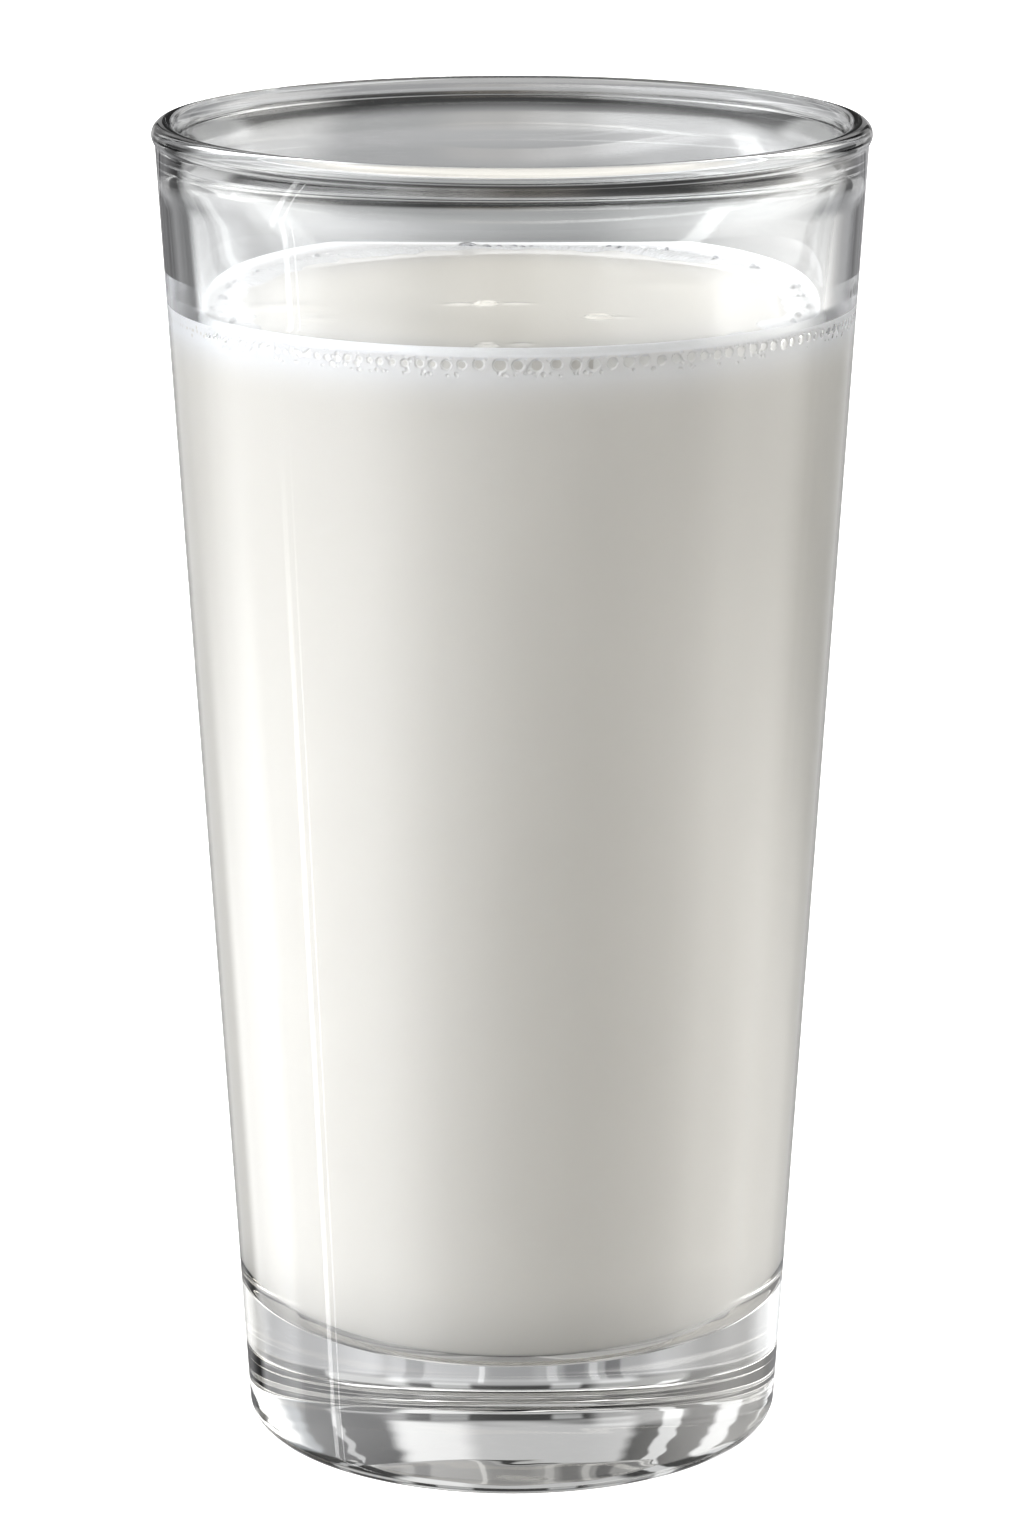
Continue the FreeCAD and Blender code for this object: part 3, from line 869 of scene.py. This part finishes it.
def build_world(studio):
    """A light tent all round: white to the eye, and to the glass a ring of soft lights."""
    world = bpy.data.worlds.new("pale_room")
    bpy.context.scene.world = world
    world.use_nodes = True
    tree = world.node_tree
    tree.nodes.clear()
    place = tree.nodes.new("ShaderNodeTexCoord")
    split = tree.nodes.new("ShaderNodeSeparateXYZ")
    tree.links.new(place.outputs["Generated"], split.inputs[0])
    across = tree.nodes.new("ShaderNodeCombineXYZ")
    tree.links.new(split.outputs["X"], across.inputs["X"])
    tree.links.new(split.outputs["Y"], across.inputs["Y"])
    flat = tree.nodes.new("ShaderNodeVectorMath")
    flat.operation = "NORMALIZE"
    tree.links.new(across.outputs[0], flat.inputs[0])
    height = math_node(tree, "ARCSINE", split.outputs["Z"])
    total = None
    for light in TENT:
        part = tent_light(tree, flat.outputs[0], height, light)
        add = tree.nodes.new("ShaderNodeVectorMath")
        add.operation = "ADD"
        tree.links.new(part, add.inputs[0])
        if total is None:
            add.inputs[1].default_value = (studio.room,) * 3
        else:
            tree.links.new(total, add.inputs[1])
        total = add.outputs[0]
    output = tree.nodes.new("ShaderNodeOutputWorld")
    mix = tree.nodes.new("ShaderNodeMixShader")
    path = tree.nodes.new("ShaderNodeLightPath")
    seen = tree.nodes.new("ShaderNodeBackground")
    tent = tree.nodes.new("ShaderNodeBackground")
    seen.inputs["Color"].default_value = (1, 1, 1, 1)
    tree.links.new(total, tent.inputs["Color"])
    tree.links.new(path.outputs["Is Camera Ray"], mix.inputs[0])
    tree.links.new(tent.outputs[0], mix.inputs[1])
    tree.links.new(seen.outputs[0], mix.inputs[2])
    tree.links.new(mix.outputs[0], output.inputs["Surface"])


def build_floor():
    """Pale matt floor, so evenly lit that it and the room are one white ground. Only the eye
    sees it: the glass is lit from below as well, as on a lit table."""
    material, tree, shader = new_material("floor_looks")
    shader.inputs["Base Color"].default_value = (0.9, 0.9, 0.9, 1)
    shader.inputs["Roughness"].default_value = 0.9
    shader.inputs["Emission Color"].default_value = (1, 1, 1, 1)
    shader.inputs["Emission Strength"].default_value = 1.0
    corners = np.array([(-4, -4, 0), (4, -4, 0), (4, 4, 0), (-4, 4, 0)], float)
    floor = mesh_from("studio_floor", corners, np.array([[0, 1, 2, 3]]))
    floor.data.materials.append(material)
    for ray in ("diffuse", "glossy", "transmission", "shadow", "volume_scatter"):
        setattr(floor, f"visible_{ray}", False)


def build_camera():
    """The camera stands in front, a little above the rim, and looks down at the glass. Its
    lens is 5940 frame units long, where the frame is 1536 units high."""
    lens = bpy.data.cameras.new("camera")
    lens.sensor_width = 36.0
    lens.lens = 5940.0 / 1536.0 * lens.sensor_width
    lens.clip_start = 0.01
    camera = bpy.data.objects.new("camera", lens)
    bpy.context.scene.collection.objects.link(camera)
    pitch = np.radians(13.76)
    camera.location = (0.0, -0.624, 0.2259)
    camera.rotation_euler = (np.pi / 2 - pitch, 0, 0)
    bpy.context.scene.camera = camera


# ---------------------------------------------------------------- operators


class MILK_OT_glass(bpy.types.Operator):
    """Build the clear tumbler"""
    bl_idname = "milk.glass"
    bl_label = "Tumbler"

    def execute(self, context):
        glass = context.scene.milk_glass
        finish_piece(build_glass(glass), glass_material(glass), "tumbler")
        return {"FINISHED"}


class MILK_OT_milk(bpy.types.Operator):
    """Build the milk that fills the tumbler"""
    bl_idname = "milk.milk"
    bl_label = "Milk"

    def execute(self, context):
        scene = context.scene
        piece = build_milk(scene.milk_glass, scene.milk_drink, scene.milk_froth)
        looks = [milk_side_material(scene.milk_drink, scene.milk_froth),
                 milk_top_material(scene.milk_drink)]
        finish_piece(piece, looks, "milk")
        return {"FINISHED"}


class MILK_OT_froth(bpy.types.Operator):
    """Build the ring of froth, its bubbly band behind the glass and its clear bubbles"""
    bl_idname = "milk.froth"
    bl_label = "Froth"

    def execute(self, context):
        scene = context.scene
        glass, milk, froth = scene.milk_glass, scene.milk_drink, scene.milk_froth
        looks = froth_material(froth)
        finish_piece(build_froth(glass, milk, froth), looks, "froth")
        finish_piece(build_lace(glass, milk, froth), lace_material(milk, froth))
        finish_piece(build_bubbles(glass, froth), film_material())
        return {"FINISHED"}


class MILK_OT_studio(bpy.types.Operator):
    """Build the pale floor, the soft lights and the camera"""
    bl_idname = "milk.studio"
    bl_label = "Studio"

    def execute(self, context):
        studio = context.scene.milk_studio
        build_world(studio)
        build_floor()
        build_camera()
        context.scene.view_settings.view_transform = "Standard"
        return {"FINISHED"}


class MILK_PT_panel(bpy.types.Panel):
    """Lists the pieces of the glass of milk"""
    bl_label = "Glass of milk"
    bl_idname = "MILK_PT_panel"
    bl_space_type = "VIEW_3D"
    bl_region_type = "UI"
    bl_category = "Milk"

    def draw(self, context):
        layout = self.layout
        for operator in OPERATORS:
            layout.operator(operator.bl_idname)
        for name in GROUPS:
            box = layout.box()
            settings = getattr(context.scene, name)
            for key in settings.__annotations__:
                box.prop(settings, key)


GROUPS = {
    "milk_glass": GlassSettings,
    "milk_drink": MilkSettings,
    "milk_froth": FrothSettings,
    "milk_studio": StudioSettings,
}
OPERATORS = (MILK_OT_glass, MILK_OT_milk, MILK_OT_froth, MILK_OT_studio)
CLASSES = (*GROUPS.values(), *OPERATORS, MILK_PT_panel)


def register():
    for item in CLASSES:
        bpy.utils.register_class(item)
    for name, group in GROUPS.items():
        setattr(bpy.types.Scene, name, PointerProperty(type=group))


def unregister():
    for name in GROUPS:
        delattr(bpy.types.Scene, name)
    for item in reversed(CLASSES):
        bpy.utils.unregister_class(item)


def main():
    """Build every piece and the stage."""
    register()
    bpy.ops.milk.glass()
    bpy.ops.milk.milk()
    bpy.ops.milk.froth()
    bpy.ops.milk.studio()


if __name__ == "__main__":
    main()
